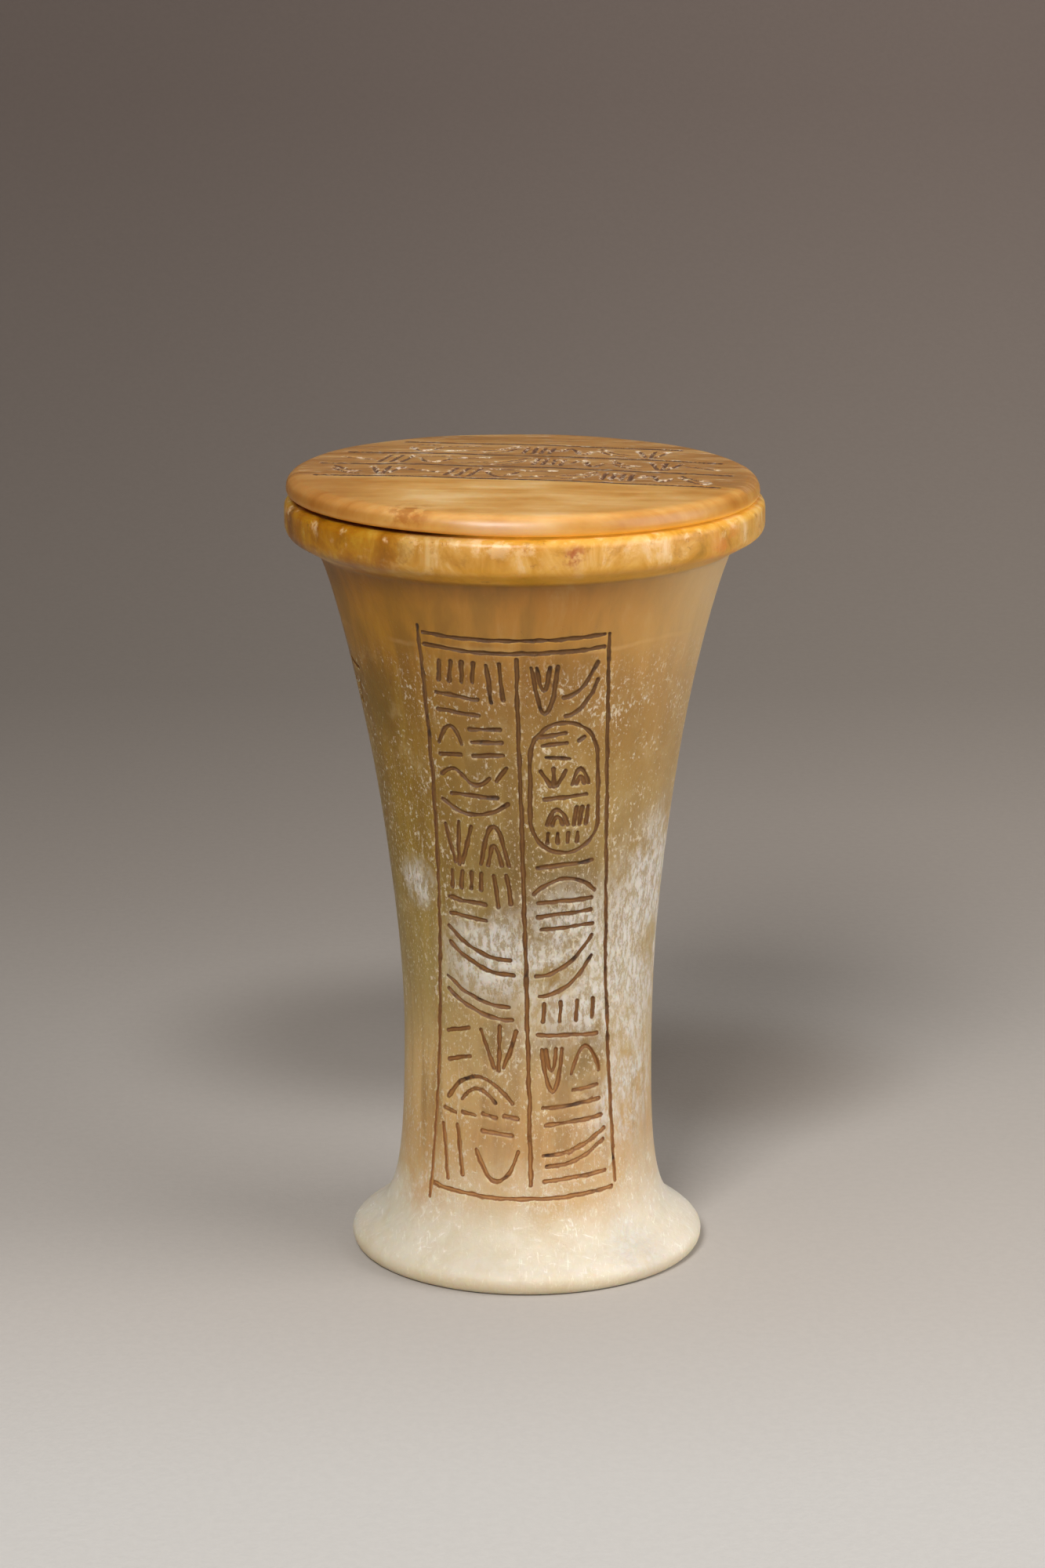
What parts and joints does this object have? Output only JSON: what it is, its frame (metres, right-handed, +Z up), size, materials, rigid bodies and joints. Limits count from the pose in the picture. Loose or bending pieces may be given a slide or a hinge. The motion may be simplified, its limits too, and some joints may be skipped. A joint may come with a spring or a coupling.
{
  "type": "lidded ointment jar",
  "caption": "Flared stone ointment jar with a wide foot, a narrow waist, a projecting rim, a drilled hollow and a loose disc lid; a ruled panel of carved strokes runs down its front.",
  "frame": {"origin": "middle of the flat underside of the foot, on the surface that the jar stands on", "axes": "+Z up along the jar's turning axis, the carved front panel facing -Y, +X to the viewer's right"},
  "size_m": [0.1041, 0.104, 0.1748],
  "materials": {
    "jar_calcite": "honey-coloured banded calcite, worn to a low polish, weathered white in patches",
    "lid_calcite": "honey-coloured calcite, polished, with a chipped and scratched carved top"
  },
  "bodies": {
    "root": {"jar": "jar_calcite", "lid": "lid_calcite"}
  },
  "joints": []
}
